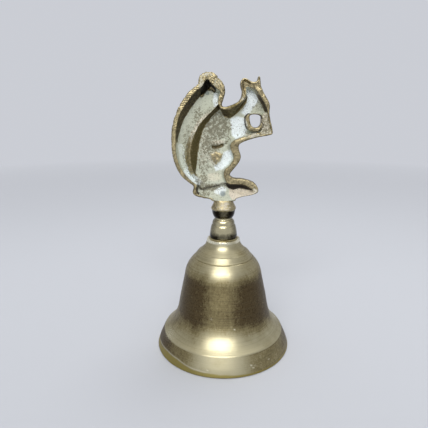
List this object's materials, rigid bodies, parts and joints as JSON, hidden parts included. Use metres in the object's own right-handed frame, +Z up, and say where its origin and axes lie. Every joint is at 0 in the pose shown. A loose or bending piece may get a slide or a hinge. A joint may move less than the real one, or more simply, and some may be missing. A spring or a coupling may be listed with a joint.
{
  "type": "table bell",
  "caption": "Turned brass table bell with a cast squirrel as its handle and a clapper that hangs on a wire link.",
  "frame": {"origin": "centre of the lip plane, where the axis of the bell meets the surface it stands on", "axes": "+Z up the axis of the bell, +X the way the squirrel faces, -Y the side of its hollow back"},
  "size_m": [0.057, 0.057, 0.1135],
  "materials": {
    "cast_brass": "rough cast, rim worn bright, hollows with tarnish and dried polish",
    "washer_brass": "satin",
    "turned_brass": "satin, turned, lightly tarnished",
    "stud_steel": "dull",
    "washer_steel": "dull",
    "nut_brass": "satin, tarnished",
    "wire_steel": "drawn wire, dull",
    "rod_steel": "dull",
    "ball_brass": "satin, dented where it strikes"
  },
  "bodies": {
    "bell": {"squirrel_handle": "cast_brass", "seat_washer": "washer_brass", "bell_cup": "turned_brass", "hanger_stud": "stud_steel", "crown_washer": "washer_steel", "clamp_nut": "nut_brass"},
    "link": {"hanger_link": "wire_steel"},
    "clapper": {"clapper_rod": "rod_steel", "clapper_ball": "ball_brass"}
  },
  "joints": [
    {"name": "link_swing", "type": "hinge", "parent": "bell", "child": "link", "pos_m": [0, 0, 0.037], "axis": [0, 1, 0], "range_deg": [-20, 20]},
    {"name": "clapper_swing", "type": "hinge", "parent": "link", "child": "clapper", "pos_m": [0, 0, 0.0274], "axis": [1, 0, 0], "range_deg": [-30, 30]}
  ]
}
